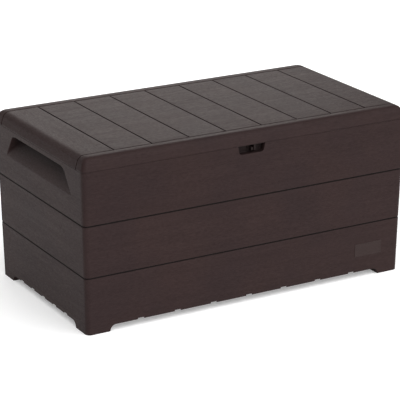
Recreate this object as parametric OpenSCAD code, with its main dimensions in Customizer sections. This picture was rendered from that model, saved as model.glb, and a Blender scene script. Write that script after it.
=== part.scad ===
// Deck storage box: four drafted board-pattern panels on corner feet, a rounded board-pattern lid on
// three rear hinges, two gas struts that hold the lid up, and a padlock eye in the front recess.
// X runs along the front, +Y points to the rear hinges, +Z is up, and the origin is on the ground
// under the middle of the box.

/* [Overall] */
// Length of the box along the front
box_w = 1290; // [1150:5:1400]
// Depth of the box from front to rear
box_d = 700; // [640:5:760]
// Height of the closed box
box_h = 625; // [600:5:680]
// Height of the seam between the walls and the lid, below the top of the box
lid_h = 46; // [42:1:52]
// Lean of the walls, which are narrower at the ground
draft_angle = 1; // [0.5:0.1:1.2]

/* [Panels] */
// Thickness of the wall panels
wall_t = 4; // [3.5:0.1:5]
// Rounding of the upright corners
corner_r = 18; // [12:1:22]
// Number of boards up each wall
wall_boards = 3; // [2:1:4]
// Height of one wall board
board_h = 185; // [150:5:190]
// Width of the grooves between boards
groove_w = 4.4; // [3:0.1:6]
// Depth of the grooves between boards
groove_depth = 1.8; // [1:0.1:2]

/* [Lid] */
// Thickness of the lid's outer skin
lid_t = 3; // [2.5:0.1:4]
// Rounding of the lid's top edges
lid_edge_r = 34; // [28:1:34]
// Number of boards across the lid
lid_boards = 9; // [5:1:12]
// Depth of the nose strip along the lid's front
nose_d = 53; // [45:1:70]

/* [Feet] */
// Height of the gap under the walls
foot_h = 22.5; // [15:0.5:28]
// Length of each foot along the walls
foot_len = 87; // [60:1:110]

/* [Handles] */
// Half width of a handle recess at its top
handle_half_w = 200; // [120:1:220]
// Height of a handle recess
handle_h = 87; // [60:1:100]
// Depth of a handle recess at its top
handle_depth = 37; // [25:1:38]

/* [Struts] */
// Distance from the lid's hinge axis to each strut's two pivots
strut_arm = 180; // [175:1:190]
// Angle between the two strut pivots about the hinge axis with the lid closed
strut_angle = 75; // [72:1:78]
// Radius of the strut tube
strut_tube_r = 9; // [8:0.5:10]

/* [Hidden] */
$fn = 48;

RESIN = [0.25, 0.205, 0.195];
RESIN_LID = [0.36, 0.33, 0.32];
RESIN_INNER = [0.3, 0.26, 0.25];
BLACK = [0.09, 0.09, 0.09];
STEEL = [0.7, 0.7, 0.72];

LEFT = -1;
RIGHT = 1;
FRONT = -1;
REAR = 1;

eps = 0.01;
half_w = box_w / 2;
half_d = box_d / 2;
seam_z = box_h - lid_h;
seam_gap = 0.3;
wall_top = seam_z - seam_gap;
lean = tan(draft_angle);

// Half sizes of the tapered box at height z, measured on the outer face
function out_x(z) = half_w - lean * (seam_z - z);
function out_y(z) = half_d - lean * (seam_z - z);
function in_x(z) = out_x(z) - wall_t;
function in_y(z) = out_y(z) - wall_t;

// Height of the first groove is one board above this
board_base = 20;

// Thick columns at the ends of the long walls, and the hairline between them and the end walls
column_w = 22;
column_d = 19;
panel_gap = 0.4;
joiner_w = 30;
joiner_t = 3;
foot_wall = 4;

// Floor
floor_z = 38;
floor_t = 3;
floor_gap = 0.35;
rib_t = 3;
rib_bottom = 23;
rib_inset = 35;
floor_rib_y = 115;
ledge_w = 10;
ledge_h = 6;

// Notches along the bottom edge of the walls
notch_w = 23;
notch_h = 4.5;
front_pitch = box_w / 9;
side_pitch = box_d / 8;

// Lid, with its lower rear edge rolled about the hinge axis
roll_r = 12;
axis_y = half_d - roll_r;
axis_z = seam_z + roll_r;
liner_z = axis_z - 4;
liner_t = 3;
liner_rear_y = half_d - 32;
liner_rib_inset = 60;
liner_rib_rear_y = liner_rear_y - 20;
liner_rib_y = 150;
lid_groove_w = 4;
nose_y = nose_d - half_d;
rear_groove_y = half_d - 60;

// Hinges
hinge_spread = box_w / 3;
hinge_places = [-hinge_spread, 0, hinge_spread];
barrel_r = 9;
pin_r = 3;
running_gap = 0.05;
lid_knuckle_w = 35;
box_leaf_w = 80;
knuckle_gap = 0.75;
notch_half_w = box_leaf_w / 2 + 6;
leaf_t = 4;
leaf_bottom_z = seam_z - 50;
lid_leaf_front_y = axis_y - 53;
lid_leaf_screw_y = lid_leaf_front_y + 9;
lid_leaf_screw_x = 10;
wall_leaf_screw_x = 28;
wall_leaf_screw_z = leaf_bottom_z + 14;

// Screws
screw_r = 2;
screw_head_r = 4.2;
screw_head_h = 1.8;
wall_screw_bite = 3;
liner_screw_bite = 2.5;

// Padlock recess and lugs
recess_bottom_z = seam_z - 31;
recess_top_half_w = 54;
recess_bottom_half_w = 49.5;
recess_corner_r = 10;
recess_depth = 22;
recess_back_y = recess_depth - half_d;
lug_t = 7;
box_lug_x = 0.5;
lid_lug_x = 10.5;
eye_r = 4.5;
eye_y = 12.5 - half_d;
eye_z = seam_z - 17;

// Handle recess in each end wall
handle_top_z = seam_z - 17;
handle_bottom_z = handle_top_z - handle_h;
handle_corner_r = 22;
handle_flare = 58;
handle_slant = atan(handle_flare / handle_h);
handle_lip = 9;
arc_steps = 8;
handle_back_x = half_w - handle_depth;

// Blank nameplate at the lower right of the front
plate_w = 114;
plate_h = 48;
plate_t = 1.3;
plate_x = 501;
plate_z = 82;
plate_r = 4;

// Gas struts
hinge_to_lid_pivot_drop = 19;
strut_lid_tilt = asin(hinge_to_lid_pivot_drop / strut_arm);
lid_pivot_y = axis_y - strut_arm * cos(strut_lid_tilt);
lid_pivot_z = axis_z - hinge_to_lid_pivot_drop;
wall_pivot_tilt = strut_angle + strut_lid_tilt;
wall_pivot_y = axis_y - strut_arm * cos(wall_pivot_tilt);
wall_pivot_z = axis_z - strut_arm * sin(wall_pivot_tilt);
strut_len = 2 * strut_arm * sin(strut_angle / 2);
strut_lean = atan2(wall_pivot_y - lid_pivot_y, lid_pivot_z - wall_pivot_z);
strut_x = 585;
strut_eye_t = 8;
strut_eye_r = 9;
strut_pin_r = 4;
strut_neck_r = 3.8;
strut_rod_r = 4;
strut_tube_bore_r = strut_tube_r - 1.5;
tube_start = 16;
tube_end = strut_len - 28;
gland_len = 10;
rod_start = 27;
piston_len = 8;
side_gap = 0.5;
tab_t = 4;
bracket_t = 4;
bracket_foot_w = 34;
wall_bracket_half_h = 19;
lid_bracket_half_l = 20;
bracket_screw_inset = 9;
bracket_screw_offset = 11;

// ---- shared shapes ----

// Prism along X from a profile of [y, z] points
module along_x(x0, x1) {
  translate([x0, 0, 0])
    rotate([90, 0, 90])
      linear_extrude(x1 - x0) children();
}

// Prism along Y from a profile of [x, z] points
module along_y(y0, y1) {
  translate([0, y1, 0])
    rotate([90, 0, 0])
      linear_extrude(y1 - y0) children();
}

module block(x, y, z) {
  translate([x[0], y[0], z[0]])
    cube([x[1] - x[0], y[1] - y[0], z[1] - z[0]]);
}

module cylinder_x(r, x0, x1, y, z) {
  translate([x0, y, z])
    rotate([0, 90, 0]) cylinder(r = r, h = x1 - x0);
}

module pan_screw(bite) {
  translate([0, 0, -screw_head_h]) cylinder(r = screw_head_r, h = screw_head_h);
  cylinder(r = screw_r, h = bite);
}

// ---- walls ----

// Slice of the tapered box between two depths under its outer faces, as a profile about the middle
module taper_profile(half_0, half_1, z0, z1) {
  polygon([[-half_0, z0], [half_0, z0], [half_1, z1], [-half_1, z1]]);
}

// Strip that follows one leaning outer face, between two depths under it, as a [distance, z] profile
module lean_strip(size_0, size_1, z0, z1, depth_0, depth_1) {
  polygon([
    [size_0 - depth_0, z0],
    [size_1 - depth_0, z1],
    [size_1 - depth_1, z1],
    [size_0 - depth_1, z0]
  ]);
}

// Frame at an outer upright corner on the ground, with +Z along the leaning corner
module corner_frame() {
  translate([out_x(0), out_y(0), 0])
    rotate(a = acos(1 / sqrt(1 + 2 * lean * lean)), v = [-lean, lean, 0]) children();
}

// What rounds an upright corner: a leaning square bar less a leaning cylinder
module corner_rounding() {
  reach = 10;
  corner_frame()
    difference() {
      translate([-corner_r, -corner_r, -reach])
        cube([corner_r + reach, corner_r + reach, wall_top + 2 * reach]);
      translate([-corner_r, -corner_r, -2 * reach]) cylinder(r = corner_r + 0.2, h = wall_top + 4 * reach);
    }
}

// Height of groove k between the boards of a wall
function groove_z(k) = board_base + board_h * k;

// What a groove takes away round an upright corner
module corner_groove(k) {
  z = groove_z(k);
  r = corner_r + 0.2 - groove_depth;
  x = out_x(z) - corner_r;
  y = out_y(z) - corner_r;
  difference() {
    block([x, half_w + 5], [y, half_d + 5], [z - groove_w / 2, z + groove_w / 2]);
    translate([x, y, z - groove_w]) cylinder(r = r, h = 2 * groove_w);
  }
}

// Gap under a wall between two feet, with quarter-round ends, as a profile about the wall's middle
module foot_gap(half_span) {
  translate([-half_span + foot_h, -1]) square([2 * (half_span - foot_h), foot_h + 1]);
  for (side = [-1, 1])
    translate([side * (half_span - foot_h), 0]) circle(r = foot_h);
}

module notch_row(count, pitch) {
  for (k = [0:count - 1])
    translate([(k - (count - 1) / 2) * pitch - notch_w / 2, foot_h - eps]) square([notch_w, notch_h + eps]);
}

// Long wall at the rear, with a thick rounded column at each end
module long_wall_base() {
  ledge_x = in_x(0) - foot_len;
  column_x = out_x(0) - column_w;
  difference() {
    intersection() {
      along_x(-half_w - 1, half_w + 1)
        lean_strip(out_y(0), out_y(wall_top), 0, wall_top, 0, column_d);
      along_y(0, half_d + 1) taper_profile(out_x(0), out_x(wall_top), 0, wall_top);
    }
    along_x(-column_x, column_x)
      lean_strip(out_y(-9), out_y(wall_top + 9), -9, wall_top + 9, wall_t, column_d + 10);
    corner_rounding();
    mirror([1, 0, 0]) corner_rounding();
  }
  block(
    [-ledge_x, ledge_x], [in_y(floor_z) - ledge_w, in_y(floor_z) + wall_t / 2],
    [floor_z - ledge_h, floor_z]
  );
}

module long_wall_cuts() {
  gap_half = out_x(0) - foot_len;
  for (k = [1:wall_boards - 1]) {
    z = groove_z(k);
    straight = out_x(z) - corner_r;
    block(
      [-straight, straight], [out_y(z) - groove_depth, half_d + 5], [z - groove_w / 2, z + groove_w / 2]
    );
    corner_groove(k);
    mirror([1, 0, 0]) corner_groove(k);
  }
  along_y(half_d - 50, half_d + 5)
    union() {
      foot_gap(gap_half);
      notch_row(7, front_pitch);
    }
}

// Outline of the padlock recess: sides that spread towards the seam, and rounded lower corners
module recess_outline(grow) {
  low_w = recess_bottom_half_w + grow;
  low_z = recess_bottom_z - grow;
  r = recess_corner_r + grow;
  half = concat(
    [for (i = [0:arc_steps])
      let (a = 90 * i / arc_steps)
      [low_w - r + r * sin(a), low_z + r - r * cos(a)]],
    [[recess_top_half_w + grow, wall_top + 5]]
  );
  mirrored = [for (i = [len(half) - 1:-1:0]) [-half[i][0], half[i][1]]];
  polygon(concat(half, mirrored));
}

// Front wall with the notch that holds the padlock pocket
module front_wall() {
  color(RESIN)
    difference() {
      mirror([0, 1, 0]) long_wall_base();
      mirror([0, 1, 0]) long_wall_cuts();
      along_y(-half_d - 5, recess_back_y + wall_t) recess_outline(wall_t);
    }
}

// Pocket in the front wall's notch, flush with the wall's leaning face
module padlock_pocket() {
  color(RESIN)
    difference() {
      intersection() {
        along_y(-half_d, recess_back_y + wall_t) recess_outline(wall_t);
        mirror([0, 1, 0])
          along_x(-half_w, half_w)
            lean_strip(out_y(0), out_y(wall_top), 0, wall_top, 0, 2 * recess_depth);
      }
      along_y(-half_d - 5, recess_back_y) recess_outline(0);
    }
}

module rear_wall() {
  color(RESIN)
    difference() {
      long_wall_base();
      long_wall_cuts();
      hinge_wall_screw_set();
      bracket_wall_screw_set();
    }
}

// Outline of a handle recess seen from the end: rounded top corners, straight sides that slant outwards
module handle_outline(grow) {
  r = handle_corner_r + grow;
  centre_y = handle_half_w - handle_corner_r * (1 - sin(handle_slant)) / cos(handle_slant);
  centre_z = handle_top_z - handle_corner_r;
  foot_y = handle_half_w + handle_flare + grow / cos(handle_slant);
  half = concat(
    [[foot_y, handle_bottom_z]],
    [for (i = [0:arc_steps])
      let (a = handle_slant + (90 - handle_slant) * i / arc_steps)
      [centre_y + r * cos(a), centre_z + r * sin(a)]]
  );
  mirrored = [for (i = [len(half) - 1:-1:0]) [-half[i][0], half[i][1]]];
  polygon(concat(half, mirrored));
}

// Scoop that runs from flush at its bottom edge to full depth under its top edge
module handle_void() {
  intersection() {
    along_x(handle_back_x - 1, half_w + 5) handle_outline(0);
    along_y(-half_d, half_d)
      polygon([
        [out_x(handle_bottom_z), handle_bottom_z],
        [half_w + 4, handle_bottom_z],
        [half_w + 4, handle_top_z + 1],
        [handle_back_x, handle_top_z + 1],
        [handle_back_x, handle_top_z - handle_lip]
      ]);
  }
}

module handle_backing() {
  low_z = handle_bottom_z - wall_t;
  intersection() {
    along_x(handle_back_x - wall_t - 1, half_w) handle_outline(wall_t);
    along_y(-half_d, half_d)
      polygon([
        [out_x(low_z) - wall_t, low_z],
        [out_x(low_z) - 1, low_z],
        [out_x(handle_top_z) - 1, handle_top_z + wall_t],
        [handle_back_x - wall_t, handle_top_z + wall_t],
        [handle_back_x - wall_t, handle_top_z - handle_lip]
      ]);
  }
}

// End wall between the columns of the long walls, with its handle recess
module end_wall(side) {
  gap_half = out_y(0) - foot_len;
  ledge_y = in_y(0) - foot_len;
  end_gap = column_d + panel_gap;
  color(RESIN)
    mirror([side == LEFT ? 1 : 0, 0, 0])
      difference() {
        union() {
          intersection() {
            along_y(-half_d, half_d)
              lean_strip(out_x(0), out_x(wall_top), 0, wall_top, 0, wall_t);
            along_x(0, half_w + 1)
              taper_profile(out_y(0) - end_gap, out_y(wall_top) - end_gap, 0, wall_top);
          }
          handle_backing();
          block(
            [in_x(floor_z) - ledge_w, in_x(floor_z) + wall_t / 2], [-ledge_y, ledge_y],
            [floor_z - ledge_h, floor_z]
          );
        }
        for (k = [1:wall_boards - 1])
          block(
            [out_x(groove_z(k)) - groove_depth, half_w + 5], [-half_d, half_d],
            [groove_z(k) - groove_w / 2, groove_z(k) + groove_w / 2]
          );
        handle_void();
        along_x(half_w - 50, half_w + 5)
          union() {
            foot_gap(gap_half);
            notch_row(5, side_pitch);
          }
      }
}

// ---- base ----

module floor_panel() {
  hx = in_x(floor_z) - floor_gap;
  hy = in_y(floor_z) - floor_gap;
  cut_x = hx - (out_x(0) - column_w) + floor_gap;
  cut_y = column_d;
  color(RESIN_INNER) {
    translate([0, 0, floor_z])
      linear_extrude(floor_t) {
        square([2 * hx, 2 * (hy - cut_y)], center = true);
        square([2 * (hx - cut_x), 2 * hy], center = true);
      }
    for (k = [-3:3])
      block(
        [k * front_pitch - rib_t / 2, k * front_pitch + rib_t / 2],
        [rib_inset - half_d, half_d - rib_inset], [rib_bottom, floor_z + 1]
      );
    for (y = [-floor_rib_y, 0, floor_rib_y])
      block(
        [rib_inset - half_w, half_w - rib_inset], [y - rib_t / 2, y + rib_t / 2],
        [rib_bottom, floor_z + 1]
      );
  }
}

// Corner foot under the floor, notched round the wall's corner column
module foot(side, end) {
  inner_x = out_x(0) - foot_len;
  inner_y = out_y(0) - foot_len;
  column_x = out_x(0) - column_w - floor_gap;
  column_y = out_y(0) - column_d - floor_gap;
  pocket_x = column_x - 2 * foot_wall;
  pocket_y = column_y - 2 * foot_wall;
  color(RESIN)
    mirror([side == LEFT ? 1 : 0, 0, 0])
      mirror([0, end == FRONT ? 1 : 0, 0])
        difference() {
          block([inner_x, in_x(0)], [inner_y, in_y(0)], [0, floor_z]);
          block([column_x, half_w], [column_y, half_d], [-1, floor_z + 1]);
          block([inner_x + foot_wall, pocket_x], [inner_y + foot_wall, pocket_y], [foot_wall, floor_z + 1]);
        }
}

// Angle strip over the inner seam between a corner column and the end wall
module joiner(side, end) {
  z0 = floor_z + floor_t + 5;
  z1 = wall_top - 30;
  column_x = out_x(0) - column_w;
  column_y = out_y(0) - column_d;
  color(RESIN_INNER)
    mirror([side == LEFT ? 1 : 0, 0, 0])
      mirror([0, end == FRONT ? 1 : 0, 0]) {
        intersection() {
          along_y(column_y - joiner_w, half_d) lean_strip(in_x(z0), in_x(z1), z0, z1, 0, joiner_t);
          along_x(0, half_w)
            lean_strip(out_y(z0), out_y(z1), z0, z1, column_d, half_d);
        }
        intersection() {
          along_x(column_x + 1, half_w)
            lean_strip(out_y(z0), out_y(z1), z0, z1, column_d, column_d + joiner_t);
          along_y(0, half_d)
            lean_strip(in_x(z0), in_x(z1), z0, z1, 0, half_w);
        }
      }
}

module nameplate() {
  mid_z = plate_z + plate_h / 2;
  color(RESIN)
    translate([plate_x, -out_y(mid_z), mid_z])
      rotate([90 + draft_angle, 0, 0])
        linear_extrude(plate_t) {
          square([plate_w, plate_h - 2 * plate_r], center = true);
          square([plate_w - 2 * plate_r, plate_h], center = true);
          for (x = [-1, 1], z = [-1, 1])
            translate([x * (plate_w / 2 - plate_r), z * (plate_h / 2 - plate_r)]) circle(r = plate_r);
        }
}

// ---- padlock eye ----

// Fixed lug on the back of the recess, with a flange on the side away from the lid's lug
module box_lock_lug() {
  lug_r = 8;
  flange_w = 9;
  flange_t = 2;
  color(RESIN)
    difference() {
      union() {
        block([box_lug_x, box_lug_x + lug_t], [eye_y, recess_back_y], [eye_z - lug_r, eye_z + lug_r]);
        cylinder_x(lug_r, box_lug_x, box_lug_x + lug_t, eye_y, eye_z);
        block(
          [box_lug_x - flange_w, box_lug_x + 1], [recess_back_y - flange_t, recess_back_y],
          [eye_z - lug_r - 1, eye_z + lug_r + 2]
        );
      }
      cylinder_x(eye_r, box_lug_x - 1, box_lug_x + lug_t + 1, eye_y, eye_z);
    }
}

// Lug that hangs from the lid into the recess, beside the fixed one
module lid_lock_lug() {
  lug_r = 9;
  pad_t = 3;
  pad_w = 8;
  pad_rear_y = eye_y + 20;
  color(RESIN)
    difference() {
      union() {
        block([lid_lug_x, lid_lug_x + lug_t], [eye_y - lug_r, eye_y + lug_r], [eye_z, liner_z]);
        cylinder_x(lug_r, lid_lug_x, lid_lug_x + lug_t, eye_y, eye_z);
        block(
          [lid_lug_x - pad_w, lid_lug_x + lug_t], [eye_y - lug_r, pad_rear_y],
          [liner_z - pad_t, liner_z]
        );
      }
      cylinder_x(eye_r, lid_lug_x - 1, lid_lug_x + lug_t + 1, eye_y, eye_z);
    }
}

// ---- lid ----

// Everything below and behind the rolled lower rear edge
module outside_roll() {
  difference() {
    block([-half_w - 5, half_w + 5], [axis_y, half_d + 5], [seam_z - 5, axis_z]);
    cylinder_x(roll_r, -half_w - 6, half_w + 6, axis_y, axis_z);
  }
}

module rolled_edge() {
  intersection() {
    difference() {
      cylinder_x(roll_r, -half_w + 1, half_w - 1, axis_y, axis_z);
      cylinder_x(roll_r - lid_t, -half_w, half_w, axis_y, axis_z);
    }
    block([-half_w, half_w], [axis_y, half_d], [seam_z, axis_z]);
  }
}

module lid_grooves() {
  pitch = box_w / lid_boards;
  top = box_h + 1;
  for (k = [1:lid_boards - 1])
    block(
      [-half_w + pitch * k - lid_groove_w / 2, -half_w + pitch * k + lid_groove_w / 2],
      [nose_y, rear_groove_y], [box_h - groove_depth, top]
    );
  difference() {
    for (y = [nose_y, rear_groove_y])
      block([-half_w - 5, half_w + 5], [y - lid_groove_w / 2, y + lid_groove_w / 2], [seam_z - 1, top]);
    lid_form(seam_z - 2, groove_depth);
  }
}

// Cross-section of the lid with rounded top edges, pulled in from the outer face by inset
module lid_profile(half, inset) {
  r = lid_edge_r - inset;
  translate([-half + inset, seam_z - 2]) square([2 * (half - inset), box_h - lid_edge_r - seam_z + 2]);
  translate([-half + lid_edge_r, seam_z - 2]) square([2 * (half - lid_edge_r), box_h - inset - seam_z + 2]);
  for (side = [-1, 1])
    translate([side * (half - lid_edge_r), box_h - lid_edge_r]) circle(r = r);
}

// Lid form from z0 up: both cross-sections together, with rounded upright corners
module lid_form(z0, inset) {
  r = corner_r - inset;
  hx = half_w - inset;
  hy = half_d - inset;
  intersection() {
    along_x(-half_w - 1, half_w + 1) lid_profile(half_d, inset);
    along_y(-half_d - 1, half_d + 1) lid_profile(half_w, inset);
    translate([0, 0, z0])
      linear_extrude(box_h + 1 - z0) {
        square([2 * hx, 2 * (hy - r)], center = true);
        square([2 * (hx - r), 2 * hy], center = true);
        for (x = [-1, 1], y = [-1, 1])
          translate([x * (hx - r), y * (hy - r)]) circle(r = r);
      }
  }
}

module lid_shell() {
  color(RESIN_LID)
    difference() {
      union() {
        difference() {
          lid_form(seam_z, 0);
          lid_form(seam_z - 1, lid_t);
          outside_roll();
        }
        rolled_edge();
      }
      lid_grooves();
      for (x = hinge_places)
        block(
          [x - notch_half_w, x + notch_half_w], [axis_y - roll_r - 4, half_d + 5],
          [seam_z - 5, axis_z + roll_r]
        );
    }
}

// Inner panel that closes the lid, with ribs up to the outer skin
module lid_liner() {
  hx = half_w - lid_t;
  front_y = lid_t - half_d;
  r = corner_r - lid_t;
  rib_top = box_h - lid_t;
  color(RESIN_INNER)
    difference() {
      union() {
        translate([0, 0, liner_z])
          linear_extrude(liner_t) {
            translate([-hx, front_y + r]) square([2 * hx, liner_rear_y - front_y - r]);
            translate([-hx + r, front_y]) square([2 * (hx - r), r + 1]);
            for (side = [-1, 1])
              translate([side * (hx - r), front_y + r]) circle(r = r);
          }
        for (k = [-3:2:3])
          block(
            [k * front_pitch - rib_t / 2, k * front_pitch + rib_t / 2],
            [liner_rib_inset - half_d, liner_rib_rear_y], [liner_z + liner_t - 1, rib_top]
          );
        for (y = [-liner_rib_y, liner_rib_y])
          block(
            [liner_rib_inset - half_w, half_w - liner_rib_inset], [y - rib_t / 2, y + rib_t / 2],
            [liner_z + liner_t - 1, rib_top]
          );
      }
      hinge_lid_screw_set();
      bracket_lid_screw_set();
    }
}

// ---- hinges ----

// Plate of thickness t on the rear wall's inner face, which leans with the wall
module rear_plate(x0, x1, z0, z1, t) {
  along_x(x0, x1)
    polygon([[in_y(z0) - t, z0], [in_y(z0), z0], [in_y(z1), z1], [in_y(z1) - t, z1]]);
}

module hinge_box_leaf(x) {
  side_w = (box_leaf_w - lid_knuckle_w) / 2 - knuckle_gap;
  color(BLACK)
    difference() {
      union() {
        rear_plate(x - box_leaf_w / 2, x + box_leaf_w / 2, leaf_bottom_z, wall_top, leaf_t);
        for (x0 = [x - box_leaf_w / 2, x + box_leaf_w / 2 - side_w]) {
          block([x0, x0 + side_w], [in_y(wall_top) - leaf_t, in_y(wall_top)], [wall_top - 1, axis_z]);
          cylinder_x(barrel_r, x0, x0 + side_w, axis_y, axis_z);
        }
      }
      cylinder_x(pin_r, x - box_leaf_w, x + box_leaf_w, axis_y, axis_z);
      hinge_wall_screw_set();
    }
}

module hinge_lid_leaf(x) {
  half = lid_knuckle_w / 2;
  color(BLACK)
    difference() {
      union() {
        block([x - half, x + half], [lid_leaf_front_y, axis_y], [liner_z - leaf_t, liner_z]);
        cylinder_x(barrel_r, x - half, x + half, axis_y, axis_z);
      }
      cylinder_x(pin_r + running_gap, x - box_leaf_w, x + box_leaf_w, axis_y, axis_z);
      hinge_lid_screw_set();
    }
}

module hinge_pin(x) {
  head_r = 5;
  head_t = 2;
  half = box_leaf_w / 2;
  color(STEEL) {
    cylinder_x(pin_r, x - half - 2, x + half + head_t, axis_y, axis_z);
    cylinder_x(head_r, x + half, x + half + head_t, axis_y, axis_z);
  }
}

// Screw at [x, z] on the rear wall, driven through a plate square to the leaning inner face
module wall_screw(x, z, plate) {
  translate([x, in_y(z) - plate / cos(draft_angle), z])
    rotate([draft_angle - 90, 0, 0])
      pan_screw(plate + wall_screw_bite);
}

// Screw at [x, y] up through a plate into the lid's inner panel
module lid_screw(x, y, plate) {
  translate([x, y, liner_z - plate]) pan_screw(plate + liner_screw_bite);
}

module hinge_wall_screw_set() {
  for (x = hinge_places, side = [-1, 1])
    wall_screw(x + side * wall_leaf_screw_x, wall_leaf_screw_z, leaf_t);
}

module hinge_lid_screw_set() {
  for (x = hinge_places, side = [-1, 1])
    lid_screw(x + side * lid_leaf_screw_x, lid_leaf_screw_y, leaf_t);
}

// ---- gas struts ----

tab_x = strut_x + strut_eye_t / 2 + side_gap;
bracket_foot_x = tab_x + tab_t - bracket_foot_w;
bracket_screw_x = bracket_foot_x + bracket_screw_inset;

module bracket_wall_screw_set() {
  for (side = [-1, 1], dz = [-1, 1])
    wall_screw(side * bracket_screw_x, wall_pivot_z + dz * bracket_screw_offset, bracket_t);
}

module bracket_lid_screw_set() {
  for (side = [-1, 1], dy = [-1, 1])
    lid_screw(side * bracket_screw_x, lid_pivot_y + dy * bracket_screw_offset, bracket_t);
}

module on_side(side) {
  mirror([side == LEFT ? 1 : 0, 0, 0]) children();
}

module strut_wall_bracket(side) {
  z0 = wall_pivot_z - wall_bracket_half_h;
  z1 = wall_pivot_z + wall_bracket_half_h;
  color(STEEL)
    difference() {
      on_side(side)
        union() {
          rear_plate(bracket_foot_x, tab_x + tab_t, z0, z1, bracket_t);
          along_x(tab_x, tab_x + tab_t)
            union() {
              polygon([
                [in_y(z0) - 1, z0],
                [in_y(z1) - 1, z1],
                [wall_pivot_y, wall_pivot_z + strut_eye_r],
                [wall_pivot_y, wall_pivot_z - strut_eye_r]
              ]);
              translate([wall_pivot_y, wall_pivot_z]) circle(r = strut_eye_r);
            }
        }
      on_side(side) cylinder_x(strut_pin_r, tab_x - 1, tab_x + tab_t + 1, wall_pivot_y, wall_pivot_z);
      bracket_wall_screw_set();
    }
}

module strut_lid_bracket(side) {
  y0 = lid_pivot_y - lid_bracket_half_l;
  y1 = lid_pivot_y + lid_bracket_half_l;
  color(STEEL)
    difference() {
      on_side(side)
        union() {
          block([bracket_foot_x, tab_x + tab_t], [y0, y1], [liner_z - bracket_t, liner_z]);
          along_x(tab_x, tab_x + tab_t)
            union() {
              polygon([
                [y0, liner_z - 1],
                [lid_pivot_y - strut_eye_r, lid_pivot_z],
                [lid_pivot_y + strut_eye_r, lid_pivot_z],
                [y1, liner_z - 1]
              ]);
              translate([lid_pivot_y, lid_pivot_z]) circle(r = strut_eye_r);
            }
        }
      on_side(side) cylinder_x(strut_pin_r, tab_x - 1, tab_x + tab_t + 1, lid_pivot_y, lid_pivot_z);
      bracket_lid_screw_set();
    }
}

// Pivot pin with its head on the inner side of the strut's eye
module strut_pin(side, y, z) {
  head_r = 6.5;
  head_t = 2.5;
  inner_x = strut_x - strut_eye_t / 2 - side_gap;
  color(STEEL)
    on_side(side) {
      cylinder_x(strut_pin_r, inner_x - head_t, tab_x + tab_t, y, z);
      cylinder_x(head_r, inner_x - head_t, inner_x, y, z);
    }
}

// Frame at the wall pivot with +Z along the closed strut, towards the lid pivot
module strut_frame(side) {
  on_side(side)
    translate([strut_x, wall_pivot_y, wall_pivot_z])
      rotate([strut_lean, 0, 0]) children();
}

module strut_tube(side) {
  color(BLACK)
    strut_frame(side)
      rotate_extrude()
        polygon([
          [0, tube_start],
          [strut_tube_r, tube_start],
          [strut_tube_r, tube_end],
          [strut_tube_bore_r, tube_end],
          [strut_tube_bore_r, tube_start + 4],
          [0, tube_start + 4]
        ]);
}

// Seal and guide in the mouth of the tube
module strut_gland(side) {
  lip_h = 2;
  color(BLACK)
    strut_frame(side)
      rotate_extrude()
        polygon([
          [strut_rod_r + 0.3, tube_end - gland_len],
          [strut_tube_bore_r, tube_end - gland_len],
          [strut_tube_bore_r, tube_end],
          [strut_tube_r - 0.5, tube_end],
          [strut_tube_r - 0.5, tube_end + lip_h],
          [strut_rod_r + 0.3, tube_end + lip_h]
        ]);
}

// Polished rod with the piston at its inner end
module strut_rod(side) {
  color(STEEL)
    strut_frame(side)
      rotate_extrude()
        polygon([
          [0, rod_start],
          [strut_tube_bore_r - 0.35, rod_start],
          [strut_tube_bore_r - 0.35, rod_start + piston_len],
          [strut_rod_r, rod_start + piston_len],
          [strut_rod_r, strut_len - tube_start],
          [0, strut_len - tube_start]
        ]);
}

// Eye for a pivot pin, with a neck of length neck along +Z
module strut_eye(neck) {
  difference() {
    union() {
      translate([-strut_eye_t / 2, 0, 0])
        rotate([0, 90, 0]) cylinder(r = strut_eye_r, h = strut_eye_t);
      cylinder(r = strut_neck_r, h = neck);
    }
    translate([-strut_eye_t, 0, 0])
      rotate([0, 90, 0]) cylinder(r = strut_pin_r + running_gap, h = 2 * strut_eye_t);
  }
}

module strut_tube_eye(side) {
  color(BLACK) strut_frame(side) strut_eye(tube_start);
}

module strut_rod_eye(side) {
  color(BLACK)
    strut_frame(side)
      translate([0, 0, strut_len])
        rotate([180, 0, 0]) strut_eye(tube_start);
}

// ---- one line per node ----

floor_panel();
front_wall();
rear_wall();
end_wall(LEFT);  // left_wall
end_wall(RIGHT);  // right_wall
foot(LEFT, FRONT);  // foot_front_left
foot(RIGHT, FRONT);  // foot_front_right
foot(LEFT, REAR);  // foot_rear_left
foot(RIGHT, REAR);  // foot_rear_right
joiner(LEFT, FRONT);  // joiner_front_left
joiner(RIGHT, FRONT);  // joiner_front_right
joiner(LEFT, REAR);  // joiner_rear_left
joiner(RIGHT, REAR);  // joiner_rear_right
padlock_pocket();
nameplate();
box_lock_lug();
lid_lock_lug();
lid_shell();
lid_liner();
hinge_box_leaf(hinge_places[0]);  // hinge_box_leaf_left
hinge_box_leaf(hinge_places[1]);  // hinge_box_leaf_middle
hinge_box_leaf(hinge_places[2]);  // hinge_box_leaf_right
hinge_lid_leaf(hinge_places[0]);  // hinge_lid_leaf_left
hinge_lid_leaf(hinge_places[1]);  // hinge_lid_leaf_middle
hinge_lid_leaf(hinge_places[2]);  // hinge_lid_leaf_right
hinge_pin(hinge_places[0]);  // hinge_pin_left
hinge_pin(hinge_places[1]);  // hinge_pin_middle
hinge_pin(hinge_places[2]);  // hinge_pin_right
color(STEEL) hinge_wall_screw_set();  // hinge_wall_screws
color(STEEL) hinge_lid_screw_set();  // hinge_lid_screws
color(STEEL) bracket_wall_screw_set();  // bracket_wall_screws
color(STEEL) bracket_lid_screw_set();  // bracket_lid_screws
strut_wall_bracket(LEFT);  // strut_wall_bracket_left
strut_lid_bracket(LEFT);  // strut_lid_bracket_left
strut_pin(LEFT, wall_pivot_y, wall_pivot_z);  // strut_wall_pin_left
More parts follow.
